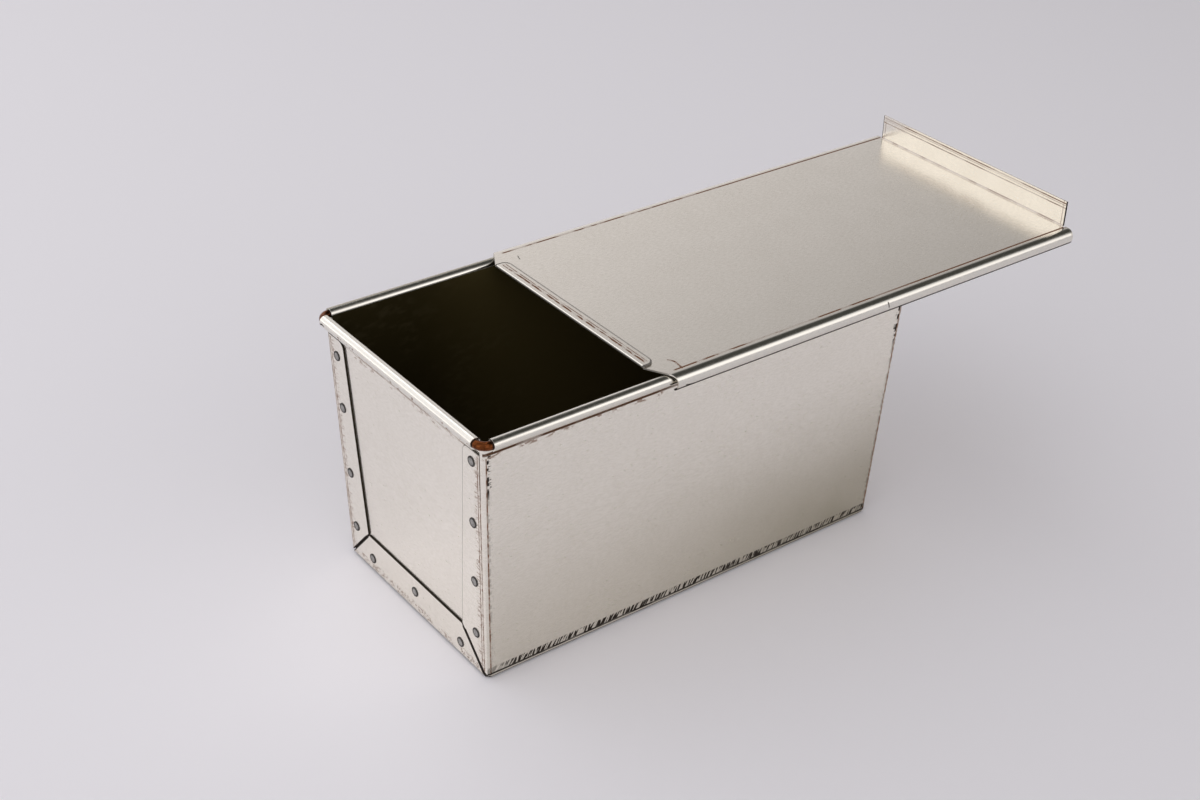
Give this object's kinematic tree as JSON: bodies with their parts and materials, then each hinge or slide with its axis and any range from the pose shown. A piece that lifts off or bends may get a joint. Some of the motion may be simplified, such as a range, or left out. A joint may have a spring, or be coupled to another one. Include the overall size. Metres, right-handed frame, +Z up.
{
  "type": "pullman loaf pan",
  "caption": "Rectangular folded-sheet loaf pan with riveted ends, a wired rim and a flat lid that slides along the rolled long edges.",
  "frame": {"origin": "middle of the flat underside of the pan, on the surface that it stands on", "axes": "+Z up out of the pan, +X along the pan towards the end where the lid's upright finger flange is, +Y across the pan to its back long side"},
  "size_m": [0.3005, 0.1216, 0.1246],
  "materials": {
    "pan_sheet": "satin aluminised steel, warm grey",
    "lid_sheet": "satin aluminised steel, warm grey",
    "wire": "copper-coated steel wire, darkened",
    "rivet": "dull steel, dark round the rim"
  },
  "bodies": {
    "pan": {"trough": "pan_sheet", "near_end_plate": "pan_sheet", "far_end_plate": "pan_sheet", "rim_wire": "wire", "near_front_rivets": "rivet", "near_back_rivets": "rivet", "near_floor_rivets": "rivet", "far_front_rivets": "rivet", "far_back_rivets": "rivet", "far_floor_rivets": "rivet"},
    "lid": {"lid": "lid_sheet"}
  },
  "joints": [
    {"name": "lid_slide", "type": "slide", "parent": "pan", "child": "lid", "axis": [1, 0, 0], "range_m": [-0.08, 0.118]}
  ]
}
